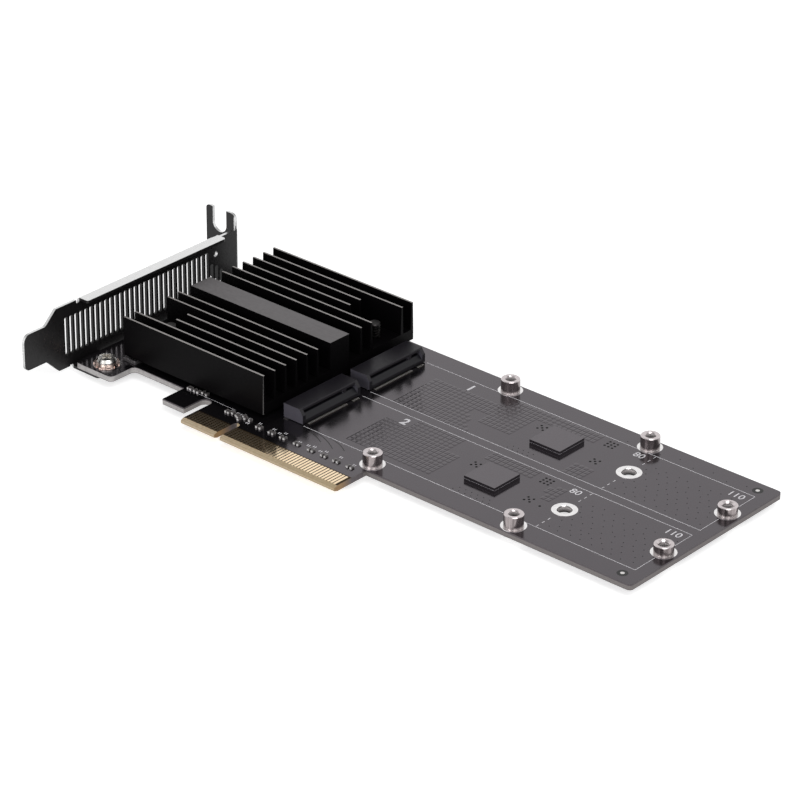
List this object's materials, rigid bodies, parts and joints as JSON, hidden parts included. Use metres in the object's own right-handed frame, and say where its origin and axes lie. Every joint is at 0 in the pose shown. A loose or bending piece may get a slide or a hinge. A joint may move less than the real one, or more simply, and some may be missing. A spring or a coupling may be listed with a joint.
{
  "type": "nvme adapter card",
  "caption": "Low-profile server adapter card that carries two gum-stick storage modules behind a finned heatsink and a vented bracket.",
  "frame": {"origin": "middle of the key notch in the contact tongue, on the contact edge, at the component-side board face", "axes": "+X along the board from the bracket to the free end, +Y across the board from the contacts to the far edge, +Z out of the component side"},
  "size_m": [0.1892, 0.0835, 0.024],
  "materials": {
    "solder_mask": "glossy black solder mask over glass-epoxy board",
    "gold_plate": "hard gold plate on the edge contacts",
    "black_coated_steel": "satin black coating over sheet steel",
    "nickel_screw": "bright nickel plate",
    "black_anodised": "black anodised aluminium extrusion",
    "chip_package": "dark moulded package",
    "black_elastomer": "smooth black silicone pad",
    "pin_steel": "plated steel pin",
    "spring_steel": "plain spring wire",
    "connector_plastic": "dark glass-filled moulding",
    "gold_lead": "thin gold flash over copper alloy",
    "tinned_metal": "bright tin plate",
    "capacitor_ceramic": "tan fired ceramic"
  },
  "bodies": {
    "root": {"circuit_board": "solder_mask", "edge_contacts_top": "gold_plate", "edge_contacts_bottom": "gold_plate", "bracket": "black_coated_steel", "bracket_screws": "nickel_screw", "lock_washers": "nickel_screw", "heatsink": "black_anodised", "bridge_substrate": "chip_package", "bridge_die": "chip_package", "thermal_pad": "black_elastomer", "retention_pins": "pin_steel", "pin_springs": "spring_steel", "connector_housing_1": "connector_plastic", "connector_housing_2": "connector_plastic", "connector_lower_leads_1": "gold_lead", "connector_lower_leads_2": "gold_lead", "connector_upper_leads_1": "gold_lead", "connector_upper_leads_2": "gold_lead", "solder_tabs": "tinned_metal", "cover_posts": "tinned_metal", "module_posts": "tinned_metal", "module_bushes": "tinned_metal", "support_pads": "black_elastomer", "chip_capacitors": "capacitor_ceramic", "capacitor_terminals": "tinned_metal", "clock_crystal": "tinned_metal"}
  },
  "joints": []
}
